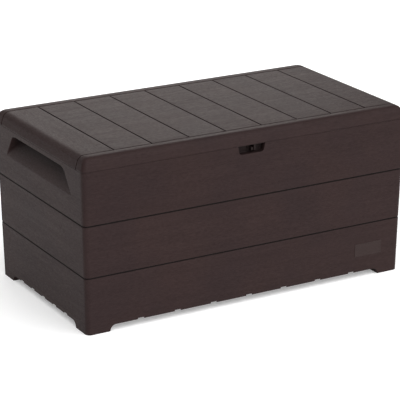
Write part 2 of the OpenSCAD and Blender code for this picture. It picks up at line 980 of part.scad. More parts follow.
strut_pin(LEFT, lid_pivot_y, lid_pivot_z);  // strut_lid_pin_left
strut_tube(LEFT);  // strut_tube_left
strut_tube_eye(LEFT);  // strut_tube_eye_left
strut_gland(LEFT);  // strut_gland_left
strut_rod(LEFT);  // strut_rod_left
strut_rod_eye(LEFT);  // strut_rod_eye_left
strut_wall_bracket(RIGHT);  // strut_wall_bracket_right
strut_lid_bracket(RIGHT);  // strut_lid_bracket_right
strut_pin(RIGHT, wall_pivot_y, wall_pivot_z);  // strut_wall_pin_right
strut_pin(RIGHT, lid_pivot_y, lid_pivot_z);  // strut_lid_pin_right
strut_tube(RIGHT);  // strut_tube_right
strut_tube_eye(RIGHT);  // strut_tube_eye_right
strut_gland(RIGHT);  // strut_gland_right
strut_rod(RIGHT);  // strut_rod_right
strut_rod_eye(RIGHT);  // strut_rod_eye_right
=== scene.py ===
import math

import bmesh
import bpy
import numpy as np
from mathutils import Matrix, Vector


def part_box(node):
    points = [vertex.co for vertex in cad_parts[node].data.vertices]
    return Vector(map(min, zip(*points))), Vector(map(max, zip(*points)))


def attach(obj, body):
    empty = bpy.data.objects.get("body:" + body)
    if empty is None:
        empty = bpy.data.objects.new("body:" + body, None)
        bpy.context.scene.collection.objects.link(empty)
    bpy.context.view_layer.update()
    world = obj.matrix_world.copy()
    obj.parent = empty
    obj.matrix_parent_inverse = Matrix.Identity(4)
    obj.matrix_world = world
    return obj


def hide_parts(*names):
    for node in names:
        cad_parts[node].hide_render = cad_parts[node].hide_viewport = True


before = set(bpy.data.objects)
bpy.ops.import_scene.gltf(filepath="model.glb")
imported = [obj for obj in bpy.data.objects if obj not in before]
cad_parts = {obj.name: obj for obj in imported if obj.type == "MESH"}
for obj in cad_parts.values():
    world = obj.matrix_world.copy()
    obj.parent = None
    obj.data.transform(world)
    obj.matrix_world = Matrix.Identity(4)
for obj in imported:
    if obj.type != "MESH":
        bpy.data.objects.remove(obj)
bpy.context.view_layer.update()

# ---- sizes, in metres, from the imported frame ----

MM = 0.001
LID_LO, LID_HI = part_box("lid_shell")
HALF_W = LID_HI.x
HALF_D = LID_HI.y
TOP_Z = LID_HI.z
SEAM_Z = LID_LO.z
WALL_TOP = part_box("front_wall")[1].z
LEAN = math.tan(math.radians(1))

WALL_T = 4 * MM
SKIN_OVERLAP = 0.5 * MM
CORNER_R = 18 * MM
COLUMN_W = 22 * MM
COLUMN_D = 19 * MM
END_GAP = COLUMN_D + 0.4 * MM
EDGE_SOFT = 0.5 * MM
# Softness of the edges along the seam, and its profile as (share of it up from the edge, share sunk)
SEAM_SOFT = 1.3 * MM
SEAM_PROFILE = [(0, 1), (0.25, 0.4), (0.6, 0.1)]

BOARD_GROOVES = [205 * MM, 390 * MM]
GROOVE_W = 4.6 * MM
GROOVE_LIP = 0.9 * MM
GROOVE_STEPS = (1, 0.3, -0.3, -1)
WALL_GROOVE_DEPTH = 3.2 * MM
LID_GROOVE_DEPTH = 4.2 * MM

FOOT_H = 22.5 * MM
FOOT_LEN = 87 * MM
NOTCH_W = 23 * MM
NOTCH_H = 4.5 * MM
NOTCH_EDGE = 0.15 * MM
LONG_PITCH = 2 * HALF_W / 9
END_PITCH = 2 * HALF_D / 8
LONG_NOTCHES = 3
END_NOTCHES = 2
LOW_ROW = 40 * MM
FOOT_STEPS = 6
CORNER_STEPS = 12
STATION_STEP = 60 * MM
ROW_STEP = 45 * MM

LID_T = 3 * MM
LID_EDGE_R = 34 * MM
ROLL_R = 12 * MM
AXIS_Z = SEAM_Z + ROLL_R
NOSE_Y = 53 * MM - HALF_D
REAR_Y = HALF_D - 60 * MM
LID_BOARDS = 9
HINGE_X = [-2 * HALF_W / 3, 0, 2 * HALF_W / 3]
HINGE_NOTCH = 46 * MM
HINGE_NOTCH_TOP = AXIS_Z + ROLL_R

# Painted shade in the recesses: how dark the deepest points are painted, and the depth at which that
# darkness is full.
RECESS_PAINTED_SHADE = 0.6
RECESS_SHADE_DEPTH = 24 * MM

TURNS = {"front": (1, 0), "right": (0, 1), "rear": (-1, 0), "left": (0, -1)}


def half_x(z):
    """Half length of the tapered walls at height z."""
    return HALF_W - LEAN * (SEAM_Z - z)


def half_y(z):
    """Half depth of the tapered walls at height z."""
    return HALF_D - LEAN * (SEAM_Z - z)


# ---- mesh helpers ----


class Skin:
    """The points, faces and groove mask of one mesh. The mask sets where painted shade darkens the grooves
    and recesses.
    """

    def __init__(self):
        self.points = []
        self.groove = []
        self.faces = []

    def add(self, point, groove=0.0):
        self.points.append(point)
        self.groove.append(groove)
        return len(self.points) - 1

    def face(self, *corners):
        kept = [c for k, c in enumerate(corners) if c != corners[k - 1]]
        if len(kept) > 2:
            self.faces.append(kept)

    def band(self, outer, inner):
        """Quads between two open chains of vertices, the inner one on the left of the outer one."""
        for k in range(len(outer) - 1):
            self.face(outer[k], outer[k + 1], inner[k + 1], inner[k])

    def build(self, name):
        used = sorted({v for f in self.faces for v in f})
        place = {v: k for k, v in enumerate(used)}
        mesh = bpy.data.meshes.new(name)
        mesh.from_pydata([self.points[v] for v in used], [], [[place[v] for v in f] for f in self.faces])
        # The groove attribute is the mask of painted shade in the grooves and recesses.
        mask = mesh.attributes.new("groove", "FLOAT", "POINT")
        mask.data.foreach_set("value", np.array([self.groove[v] for v in used], np.float32))
        mesh.shade_smooth()
        mesh.update()
        made = bpy.data.objects.new(name, mesh)
        bpy.context.scene.collection.objects.link(made)
        return made


def thicken(piece, thickness):
    """Gives a skin its wall thickness, inwards, and even shading across its soft edges."""
    solid = piece.modifiers.new("thickness", "SOLIDIFY")
    solid.thickness = thickness
    solid.offset = -1
    weighted = piece.modifiers.new("shading", "WEIGHTED_NORMAL")
    weighted.keep_sharp = False


def soften(piece, width, segments=2, angle=35):
    bevel = piece.modifiers.new("soft_edges", "BEVEL")
    bevel.width = width
    bevel.segments = segments
    bevel.limit_method = "ANGLE"
    bevel.angle_limit = math.radians(angle)
    bevel.harden_normals = True


def groove_lines(centre):
    """Grid lines that carry one groove's profile."""
    steps = [GROOVE_W / 2 + share * GROOVE_LIP for share in GROOVE_STEPS]
    return [centre - s for s in steps] + [centre] + [centre + s for s in reversed(steps)]


def groove_share(distance):
    """How far into a groove a point is, from 0 outside to 1 on its floor."""
    t = (GROOVE_W / 2 + GROOVE_LIP - abs(distance)) / (2 * GROOVE_LIP)
    t = min(max(t, 0), 1)
    return t * t * (3 - 2 * t)


def merged(values, gap=0.12 * MM):
    """Sorted grid lines without near repeats."""
    kept = []
    for v in sorted(values):
        if not kept or v - kept[-1] > gap:
            kept.append(v)
    return kept


def filled(values, step):
    """Adds evenly spaced lines wherever two lines are further apart than step."""
    values = merged(values)
    full = []
    for a, b in zip(values, values[1:]):
        n = max(1, math.ceil((b - a) / step))
        full += [a + (b - a) * k / n for k in range(n)]
    return full + [values[-1]]


def shares(chain):
    """Distance of each point along a chain, as a share of its length."""
    chain = np.array(chain, float)
    run = np.concatenate([[0], np.cumsum(np.linalg.norm(np.diff(chain, axis=0), axis=1))])
    return run / run[-1]


def resampled(chain, places):
    """Points on a chain at the given shares of its length."""
    chain = np.array(chain, float)
    at = shares(chain)
    return [(float(np.interp(p, at, chain[:, 0])), float(np.interp(p, at, chain[:, 1]))) for p in places]


def arc(cx, cz, r, start, end, steps=6):
    turns = [math.radians(start + (end - start) * k / steps) for k in range(steps + 1)]
    return [(cx + r * math.cos(t), cz + r * math.sin(t)) for t in turns]


# ---- walls ----


class Wall:
    """One wall as a grid of stations along it and rows up it, turned to its side of the box."""

    def __init__(self, side, long):
        self.turn = TURNS[side]
        self.long = long
        self.out = half_y if long else half_x
        self.pitch = LONG_PITCH if long else END_PITCH
        self.notches = LONG_NOTCHES if long else END_NOTCHES
        self.gap_half = (half_x(0) if long else half_y(0)) - FOOT_LEN
        self.skin = Skin()

    def half(self, z):
        return half_x(z) if self.long else half_y(z) - END_GAP

    def world(self, along, out, z):
        c, s = self.turn
        return (along * c + out * s, along * s - out * c, z)

    def flat(self, along, z, depth):
        """Adds a point on the flat face, sunk by depth. The deeper it lies, the darker its painted shade."""
        painted_shade = RECESS_PAINTED_SHADE * min(depth / RECESS_SHADE_DEPTH, 1)
        return self.skin.add(self.world(along, self.out(z) - depth, z), painted_shade)

    def point(self, station, z, depth):
        kind, side, value, _ = station
        if kind == "flat":
            return self.world(value, self.out(z) - depth, z)
        if kind == "edge":
            return self.world(side * (self.half(z) - value), self.out(z) - depth, z)
        if kind == "return":
            return self.world(side * (self.half(z) - depth), self.out(z) - CORNER_R - value, z)
        r = CORNER_R - depth
        a = math.radians(value)
        along = side * (self.half(z) - CORNER_R + r * math.sin(a))
        return self.world(along, self.out(z) - CORNER_R + r * math.cos(a), z)

    def bottom(self, station):
        """Height of the wall's lower edge: feet, quarter rounds and the row of small notches."""
        kind, _, value, _ = station
        reach = abs(value)
        straight = self.gap_half - FOOT_H
        if kind != "flat" or reach >= self.gap_half:
            return 0
        if reach > straight:
            return math.sqrt(FOOT_H ** 2 - (reach - straight) ** 2)
        nearest = self.pitch * min(max(round(value / self.pitch), -self.notches), self.notches)
        return FOOT_H + (NOTCH_H if abs(value - nearest) < NOTCH_W / 2 else 0)

    def stations(self, extra):
        """Stations as (kind, side, value, sunk by)."""
        lines = list(extra)
        for side in (-1, 1):
            for k in range(FOOT_STEPS + 1):
                turn = math.radians(90 * k / FOOT_STEPS)
                lines.append(side * (self.gap_half - FOOT_H + FOOT_H * math.sin(turn)))
            for k in range(-self.notches, self.notches + 1):
                edge = self.pitch * k + side * NOTCH_W / 2
                lines += [edge - NOTCH_EDGE, edge + NOTCH_EDGE]
        flats = [("flat", 0, a, 0) for a in filled(lines, STATION_STEP)]
        ends = [[], []]
        for k, side in enumerate((-1, 1)):
            if self.long:
                ends[k] = [("arc", side, 90 * n / CORNER_STEPS, 0) for n in range(CORNER_STEPS + 1)]
                tail = COLUMN_D - CORNER_R
                ends[k].append(("return", side, tail / 2, 0.1 * EDGE_SOFT))
                ends[k].append(("return", side, tail, EDGE_SOFT))
            else:
                soft = [(2 * EDGE_SOFT, 0), (0.6 * EDGE_SOFT, 0.25 * EDGE_SOFT), (0, EDGE_SOFT)]
                ends[k] = [("edge", side, inset, sunk) for inset, sunk in soft]
        return ends[0][::-1] + flats + ends[1]

    def rows(self, extra):
        """Rows as (height above the lower edge or None, height, sunk by)."""
        low = [(0, 0, 1.6 * EDGE_SOFT), (0.3 * MM, 0, 0.5 * EDGE_SOFT), (1.0 * MM, 0, 0)]
        lines = [LOW_ROW, WALL_TOP - 1.1 * SEAM_SOFT] + list(extra)
        for z in BOARD_GROOVES:
            lines += groove_lines(z)
        middle = [(None, z, 0) for z in filled(lines, ROW_STEP)]
        top = []
        for below, sunk in reversed(SEAM_PROFILE):
            top.append((None, WALL_TOP - below * SEAM_SOFT, sunk * SEAM_SOFT))
        return low + middle + top

    def lay(self, extra_stations=(), extra_rows=()):
        """Adds the grid's points, and keeps where each is as (along, z)."""
        self.cols = self.stations(extra_stations)
        self.lines = self.rows(extra_rows)
        self.grid = []
        self.flat_at = {}
        for j, (above, height, sunk_row) in enumerate(self.lines):
            row = []
            for i, station in enumerate(self.cols):
                z = height if above is None else self.bottom(station) + above
                share = max(groove_share(z - g) for g in BOARD_GROOVES)
                depth = max(share * WALL_GROOVE_DEPTH, sunk_row, station[3])
                row.append(self.skin.add(self.point(station, z, depth), share))
                self.flat_at[i, j] = (station[2], z)
            self.grid.append(row)

    def span(self, half, low, high):
        """First and last flat station within half of the middle, and first and last row from low to high."""
        cols = [i for i, s in enumerate(self.cols) if s[0] == "flat" and abs(s[2]) < half + 0.1 * MM]
        rows = [j for j, r in enumerate(self.lines) if low - 0.1 * MM < r[1] < high + 0.1 * MM]
        return cols[0], cols[-1], rows[0], rows[-1]

    def surface(self, hole=None):
        """Quads over the grid, apart from the hole, which is given as span gives it."""
        for j in range(len(self.lines) - 1):
            for i in range(len(self.cols) - 1):
                if hole and hole[0] <= i < hole[1] and hole[2] <= j < hole[3]:
                    continue
                low, high = self.grid[j], self.grid[j + 1]
                self.skin.face(low[i], low[i + 1], high[i + 1], high[i])

    def sink(self, hole, outline, rings, depth_at, open_top):
        """Fills a hole with a recess: rings from its edge down the recess's sides, then the back."""
        i0, i1, j0, j1 = hole
        across = list(range(i0, i1 + 1))
        up = list(range(j0, j1 + 1))
        edges = {
            "bottom": [(i, j0) for i in across],
            "right": [(i1, j) for j in up],
            "top": [(i, j1) for i in reversed(across)],
            "left": [(i0, j) for j in reversed(up)],
        }
        order = ["left", "bottom", "right"] if open_top else ["bottom", "right", "top", "left"]
        places = {k: shares([self.flat_at[c] for c in edges[k]]) for k in order}
        outer = [self.grid[j][i] for k in order for i, j in edges[k][:-1]]
        outer.append(self.grid[edges[order[-1]][-1][1]][edges[order[-1]][-1][0]])
        for inset, depth in rings:
            curves = outline(inset)
            chains = {k: resampled(curves[k], places[k]) for k in order}
            flat = [p for k in order for p in chains[k][:-1]] + [chains[order[-1]][-1]]
            inner = [self.flat(a, z, min(depth, depth_at(a, z))) for a, z in flat]
            if not open_top:
                inner[-1] = inner[0]
            self.skin.band(outer, inner)
            outer = inner
        self.back(chains, outer, order, places, depth_at)

    def back(self, chains, ring, order, places, depth_at):
        """The recess's back: a grid stretched between the last ring's four sides."""
        us = places["bottom"]
        vs = places["right"]
        n, m = len(us), len(vs)
        start = {}
        place = 0
        for k in order:
            start[k] = place
            place += (m if k in ("left", "right") else n) - 1
        bottom = [ring[start["bottom"] + i] for i in range(n)]
        right = [ring[start["right"] + j] for j in range(m)]
        left = [ring[start["left"] + m - 1 - j] for j in range(m)]
        low, east = chains["bottom"], chains["right"]
        west = chains["left"][::-1]
        top = None
        if "top" in order:
            top = [ring[start["top"] + n - 1 - i] for i in range(n)]
            high = chains["top"][::-1]
        else:
            high = [(west[-1][0] + (east[-1][0] - west[-1][0]) * u, west[-1][1]) for u in us]
        rows = [bottom]
        for j in range(1, m):
            v = vs[j]
            row = [left[j]]
            for i in range(1, n - 1):
                u = us[i]
                if j == m - 1 and top:
                    row.append(top[i])
                    continue
                p = [
                    (1 - v) * low[i][d] + v * high[i][d] + (1 - u) * west[j][d] + u * east[j][d]
                    - (1 - u) * (1 - v) * low[0][d] - u * (1 - v) * low[-1][d]
                    - (1 - u) * v * high[0][d] - u * v * high[-1][d]
                    for d in (0, 1)
                ]
                row.append(self.flat(p[0], p[1], depth_at(p[0], p[1])))
            row.append(right[j])
            rows.append(row)
        for lower, upper in zip(rows, rows[1:]):
            self.skin.band(lower, upper)


# Padlock recess in the front wall, open at the seam
LOCK_LOW_Z = SEAM_Z - 31 * MM
LOCK_LOW_HALF = 49.5 * MM
LOCK_TOP_HALF = 54 * MM
LOCK_R = 10 * MM
LOCK_DEPTH = 22 * MM
LOCK_FRAME = 70 * MM
LOCK_MARGIN = 13 * MM
LOCK_STEP = 6 * MM
# (inset from the recess's outline, depth), from the wall's face down to the recess's back
LOCK_RINGS = [
    (-1.1 * MM, 0),
    (-0.4 * MM, 0.2 * MM),
    (-0.05 * MM, 0.8 * MM),
    (0, 1.6 * MM),
    (0.5 * MM, LOCK_DEPTH - 2.2 * MM),
    (1.2 * MM, LOCK_DEPTH - 0.6 * MM),
    (3 * MM, LOCK_DEPTH),
]


def lock_outline(inset):
    r = max(LOCK_R - inset, 2 * MM)
    low = LOCK_LOW_Z + inset
    half = LOCK_LOW_HALF - inset
    corner = arc(half - r, low + r, r, -90, 0)
    middle = len(corner) // 2
    mirrored = [(-a, z) for a, z in corner]
    right = corner[middle:] + [(LOCK_TOP_HALF - inset, WALL_TOP)]
    return {
        "bottom": mirrored[: middle + 1][::-1] + corner[: middle + 1],
        "right": right,
        "left": [(-a, z) for a, z in reversed(right)],
    }


# Handle recess in each end wall: deep under its top edge, and fading into the wall at its foot
GRIP_TOP_Z = SEAM_Z - 17 * MM
GRIP_H = 87 * MM
GRIP_LOW_Z = GRIP_TOP_Z - GRIP_H
GRIP_HALF = 200 * MM
GRIP_FLARE = 58 * MM
GRIP_R = 34 * MM
GRIP_DEPTH = 36.5 * MM
GRIP_FADE = 10 * MM
GRIP_CURVE = 1.35
GRIP_FRAME = 276 * MM
GRIP_MARGIN = 9 * MM
GRIP_STEPS = 8
GRIP_COLUMN = 25 * MM
GRIP_ROW = 9 * MM
GRIP_RINGS = [
    (-1.6 * MM, 0),
    (-0.6 * MM, 0.25 * MM),
    (0, 1.0 * MM),
    (0.4 * MM, 2.4 * MM),
    (1.2 * MM, 12 * MM),
    (2.2 * MM, 24 * MM),
    (3.6 * MM, 32 * MM),
    (6 * MM, 36 * MM),
    (9 * MM, GRIP_DEPTH),
]


def grip_outline(inset):
    r = GRIP_R - inset
    low = GRIP_LOW_Z + inset
    slant = math.atan(GRIP_FLARE / GRIP_H)
    centre = GRIP_HALF - GRIP_R * (1 - math.sin(slant)) / math.cos(slant)
    foot = GRIP_HALF + (GRIP_TOP_Z - low) * math.tan(slant) - inset / math.cos(slant)
    corner = arc(centre, GRIP_TOP_Z - GRIP_R, r, math.degrees(slant), 90, GRIP_STEPS)
    middle = len(corner) // 2
    right = [(foot, low)] + corner[: middle + 1]
    half_top = corner[middle:]
    return {
        "bottom": [(-foot, low), (foot, low)],
        "right": right,
        "top": half_top + [(-a, z) for a, z in reversed(half_top)],
        "left": [(-a, z) for a, z in reversed(right)],
    }


def grip_depth(along, z):
    t = min(max((z - GRIP_LOW_Z) / (GRIP_H - GRIP_FADE), 0), 1)
    return GRIP_DEPTH * t ** GRIP_CURVE


def front_wall():
    wall = Wall("front", True)
    low = LOCK_LOW_Z - LOCK_MARGIN
    frame_lines = [LOCK_FRAME * k / 6 for k in range(-6, 7)]
    wall.lay(frame_lines, filled([low, WALL_TOP - 1.1 * SEAM_SOFT], LOCK_STEP))
    hole = wall.span(LOCK_FRAME, low, WALL_TOP)
    wall.surface(hole)
    wall.sink(hole, lock_outline, LOCK_RINGS, lambda a, z: LOCK_DEPTH, True)
    return wall.skin.build("front_wall_shell")


def rear_wall():
    wall = Wall("rear", True)
    wall.lay()
    wall.surface()
    return wall.skin.build("rear_wall_shell")


def end_wall(side):
    wall = Wall(side, False)
    low = GRIP_LOW_Z - 2 * GRIP_MARGIN
    high = GRIP_TOP_Z + GRIP_MARGIN
    columns = [-GRIP_FRAME, GRIP_FRAME] + filled([-GRIP_HALF, GRIP_HALF], GRIP_COLUMN)
    wall.lay(columns, filled([low, high], GRIP_ROW))
    hole = wall.span(GRIP_FRAME, low, high)
    wall.surface(hole)
    wall.sink(hole, grip_outline, GRIP_RINGS, grip_depth, False)
    return wall.skin.build(side + "_wall_shell")


POST_LOW_Z = 1 * MM
POST_TOP_Z = WALL_TOP - 0.6 * MM


def corner_post(name, side, end):
    """Solid column that follows the leaning walls just under their skin, round the corner too."""
    under = WALL_T - SKIN_OVERLAP
    skin = Skin()
    rings = []
    for z in (POST_LOW_Z, POST_TOP_Z):
        cx, cy = half_x(z) - CORNER_R, half_y(z) - CORNER_R
        outline = arc(cx, cy, CORNER_R - under, 0, 90)
        outline.append((half_x(z) - COLUMN_W, half_y(z) - under))
        outline.append((half_x(z) - COLUMN_W, half_y(z) - COLUMN_D))
        outline.append((half_x(z) - under, half_y(z) - COLUMN_D))
        rings.append([skin.add((side * x, end * y, z)) for x, y in outline])
    low, high = rings
    skin.band(low + low[:1], high + high[:1])
    skin.face(*reversed(low))
    skin.face(*high)
    return tidy_normals(skin.build(name))


def tidy_normals(piece):
    shape = bmesh.new()
    shape.from_mesh(piece.data)
    bmesh.ops.recalc_face_normals(shape, faces=shape.faces)
    shape.to_mesh(piece.data)
    shape.free()
    return piece


# ---- lid ----


LID_FOOT_Z = SEAM_Z + 4 * MM
LID_LEAN = math.radians(16.5)
LID_ROUND_R = 27 * MM
LID_ROUND_Z = TOP_Z - LID_ROUND_R
LID_SKIRT_TOP = LID_ROUND_Z + LID_ROUND_R * math.sin(LID_LEAN)


def lid_rear_inset(z):
    """Inset of the lid's rear edge, rolled round the hinge axis and rounded into the top above it."""
    r = ROLL_R if z < AXIS_Z else LID_EDGE_R
    return r - math.sqrt(max(r ** 2 - (z - AXIS_Z) ** 2, 0))


def lid_edge(z):
    """Inset and normal's angle of the lid's front and ends: upright, then leaning, then rounded."""
    if z <= LID_SKIRT_TOP:
        return math.tan(LID_LEAN) * max(z - LID_FOOT_Z, 0), LID_LEAN
    angle = math.asin(min((z - LID_ROUND_Z) / LID_ROUND_R, 1))
    skirt = math.tan(LID_LEAN) * (LID_SKIRT_TOP - LID_FOOT_Z)
    return skirt + LID_ROUND_R * (math.cos(LID_LEAN) - math.cos(angle)), angle


def lid_levels():
    """Levels of the lid's edge from the seam up, as (inset, rear inset, height, normal's angle)."""
    heights = [SEAM_Z + above * SEAM_SOFT for above, _ in SEAM_PROFILE]
    heights += [AXIS_Z - ROLL_R * math.sin(math.radians(turn)) for turn in (54, 42, 36, 27, 18, 0)]
    heights += [(AXIS_Z + HINGE_NOTCH_TOP) / 2, HINGE_NOTCH_TOP, LID_SKIRT_TOP]
    heights += [LID_ROUND_Z + LID_ROUND_R * math.sin(math.radians(turn)) for turn in range(24, 81, 8)]
    heights.append(TOP_Z)
    levels = []
    for k, z in enumerate(heights):
        inset, angle = lid_edge(z)
        if k < len(SEAM_PROFILE):
            inset += SEAM_PROFILE[k][1] * SEAM_SOFT
        levels.append((inset, lid_rear_inset(z), z, angle))
    return levels


LID_CORNER_STEPS = 8
LID_CORNER_SHRINK = 5 * MM
LID_FLAT_INSET = LID_EDGE_R + 14 * MM
LID_COLUMN = 50 * MM
LID_ROW = 60 * MM


def lid_ring(skin, xs, ys, level):
    """One closed chain round the lid: front, right, rear and left sides with an arc at each corner."""
    inset, rear_inset, z, angle = level
    r = CORNER_R - LID_CORNER_SHRINK * inset / LID_EDGE_R
    hx = HALF_W - inset
    front = -(HALF_D - inset)
    rear = HALF_D - rear_inset
    normal = (math.cos(angle), math.sin(angle))
    chain = [skin.add((x, front, z)) for x in xs]

    def corner(cx, cy, start):
        for k in range(LID_CORNER_STEPS + 1):
            t = math.radians(start + 90 * k / LID_CORNER_STEPS)
            chain.append(skin.add((cx + r * math.cos(t), cy + r * math.sin(t), z)))

    def side(sign, lines):
        for y in lines:
            share = max(groove_share(y - NOSE_Y), groove_share(y - REAR_Y))
            d = share * LID_GROOVE_DEPTH
            chain.append(skin.add((sign * (hx - d * normal[0]), y, z - d * normal[1]), share))

    corner(hx - r, front + r, -90)
    side(1, ys)
    corner(hx - r, rear - r, 0)
    chain.extend(skin.add((x, rear, z)) for x in reversed(xs))
    corner(-hx + r, rear - r, 90)
    side(-1, list(reversed(ys)))
    corner(-hx + r, front + r, 180)
    chain.append(chain[0])
    return chain


def lid_skin():
    pitch = 2 * HALF_W / LID_BOARDS
    grooves = [pitch * k - HALF_W for k in range(1, LID_BOARDS)]
    notches = [x + s * HINGE_NOTCH for x in HINGE_X for s in (-1, 1)]
    flat_x = HALF_W - LID_FLAT_INSET
    flat_y = HALF_D - LID_FLAT_INSET
    xs = filled([v for g in grooves for v in groove_lines(g)] + notches + [-flat_x, flat_x], LID_COLUMN)
    ys = filled(groove_lines(NOSE_Y) + groove_lines(REAR_Y) + [-flat_y, flat_y], LID_ROW)
    skin = Skin()
    levels = lid_levels()
    chains = [lid_ring(skin, xs, ys, level) for level in levels]
    top = []
    for y in ys:
        across = max(groove_share(y - NOSE_Y), groove_share(y - REAR_Y))
        row = []
        for x in xs:
            along = max(groove_share(x - g) for g in grooves) if NOSE_Y < y < REAR_Y else 0
            share = max(across, along)
            row.append(skin.add((x, y, TOP_Z - share * LID_GROOVE_DEPTH), share))
        top.append(row)
    for low, high in zip(top, top[1:]):
        skin.band(low, high)
    n = LID_CORNER_STEPS + 1
    last = top[0] + [top[0][-1]] * n + [r[-1] for r in top] + [top[-1][-1]] * n + top[-1][::-1]
    last += [top[-1][0]] * n + [r[0] for r in reversed(top)] + [top[0][0]] * n + [top[0][0]]
    chains.append(last)
    for k, (low, high) in enumerate(zip(chains, chains[1:])):
        in_notch = k + 1 < len(levels) and levels[k + 1][2] < HINGE_NOTCH_TOP + 0.1 * MM
        for i in range(len(low) - 1):
            if in_notch and over_hinge(skin.points[low[i]], skin.points[low[i + 1]]):
                continue
            skin.face(low[i], low[i + 1], high[i + 1], high[i])
    return skin.build("lid_skin")


def over_hinge(a, b):
    """Whether the stretch of the lid's rear edge between two points lies over a hinge."""
    middle = (a[0] + b[0]) / 2
    on_rear = min(a[1], b[1]) > HALF_D - 1.5 * CORNER_R
    return on_rear and any(abs(middle - x) < HINGE_NOTCH for x in HINGE_X)


# ---- materials ----


def node(tree, kind, inputs=None, **settings):
    made = tree.nodes.new("ShaderNode" + kind)
    for key, value in settings.items():
        setattr(made, key, value)
    for socket, value in (inputs or {}).items():
        if isinstance(value, bpy.types.NodeSocket):
            tree.links.new(value, made.inputs[socket])
        else:
            made.inputs[socket].default_value = value
    return made


def math_node(tree, operation, *values):
    return node(tree, "Math", dict(enumerate(values)), operation=operation).outputs[0]


def new_material(name):
    material = bpy.data.materials.new(name)
    material.use_nodes = True
    tree = material.node_tree
    shader = tree.nodes["Principled BSDF"]
    return material, tree, shader


def mix_colour(tree, factor, a, b, blend="MIX"):
    made = tree.nodes.new("ShaderNodeMix")
    made.data_type = "RGBA"
    made.blend_type = blend
    for socket, value in ((made.inputs[0], factor), (made.inputs[6], a), (made.inputs[7], b)):
        if isinstance(value, bpy.types.NodeSocket):
            tree.links.new(value, socket)
        else:
            socket.default_value = value
    return made.outputs[2]


def srgb(r, g, b):
    """Linear colour, with alpha, of an 8-bit display colour."""
    linear = []
    for c in (r / 255, g / 255, b / 255):
        linear.append(c / 12.92 if c <= 0.04045 else ((c + 0.055) / 1.055) ** 2.4)
    return (*linear, 1)


WEAR_GAIN = 6.0


def edge_wear(tree, radius, noise):
    """1 on exposed edges and 0 on faces, broken up by noise."""
    rounded = node(tree, "Bevel", {"Radius": radius}, samples=4).outputs[0]
    true = node(tree, "NewGeometry").outputs["Normal"]
    facing = node(tree, "VectorMath", {0: rounded, 1: true}, operation="DOT_PRODUCT").outputs["Value"]
    away = math_node(tree, "SUBTRACT", 1.0, facing)
    strong = math_node(tree, "MULTIPLY", away, WEAR_GAIN)
    broken = math_node(tree, "MULTIPLY", strong, noise)
    return node(tree, "Clamp", {"Value": broken}).outputs[0]


GRAIN_SCALES = {"X": (70, 330, 330), "Y": (330, 70, 330), "Z": (330, 330, 70)}
BAND_SCALES = {"X": (2.2, 46, 46), "Y": (46, 2.2, 46), "Z": (46, 46, 2.2)}
STREAK_SHARE = 0.75
BAND_SHARE = 0.25
GRIT_SHARE = 0.4
BOARD_SHIFT = 3.71
# Painted shade: the groove mask darkens grooves and recesses almost to black, in place of the shade that
# falls in them.
GROOVE_PAINTED_SHADE = 0.95
PAINTED_SHADE_COLOUR = (0.004, 0.0028, 0.0026, 1)
RUB_R = 1.4 * MM
RUB_SHARE = 0.3
RUBBED = (0.085, 0.065, 0.06, 1)
COOL_TINT = (0.93, 0.93, 0.95, 1)
WARM_TINT = (1.06, 1.03, 1.0, 1)
RELIEF_H = 0.9 * MM


def grain_vector(tree, coords, scales, axis, swap):
    """Coordinates stretched along the grain. Outside swap's limits along Y, its own axis takes over."""
    first = node(tree, "Mapping", {"Vector": coords, "Scale": scales[axis]}).outputs[0]
    if swap is None:
        return first
    other, low, high = swap
    second = node(tree, "Mapping", {"Vector": coords, "Scale": scales[other]}).outputs[0]
    y = node(tree, "SeparateXYZ", {0: coords}).outputs["Y"]
    below = math_node(tree, "LESS_THAN", y, low)
    above = math_node(tree, "GREATER_THAN", y, high)
    mask = math_node(tree, "ADD", below, above)
    mixed = tree.nodes.new("ShaderNodeMix")
    mixed.data_type = "VECTOR"
    tree.links.new(mask, mixed.inputs[0])
    tree.links.new(first, mixed.inputs[4])
    tree.links.new(second, mixed.inputs[5])
    return mixed.outputs[1]


def board_coords(tree, boards):
    """Object coordinates, shifted from board to board so that each board has its own grain."""
    coords = node(tree, "TexCoord").outputs["Object"]
    if boards is None:
        return coords
    axis, start, pitch = boards
    across = node(tree, "SeparateXYZ", {0: coords}).outputs[axis]
    moved = math_node(tree, "SUBTRACT", across, start)
    number = math_node(tree, "FLOOR", math_node(tree, "DIVIDE", moved, pitch))
    shift = math_node(tree, "MULTIPLY", number, BOARD_SHIFT)
    offset = node(tree, "CombineXYZ", {0: shift, 1: shift, 2: shift}).outputs[0]
    return node(tree, "VectorMath", {0: coords, 1: offset}, operation="ADD").outputs[0]


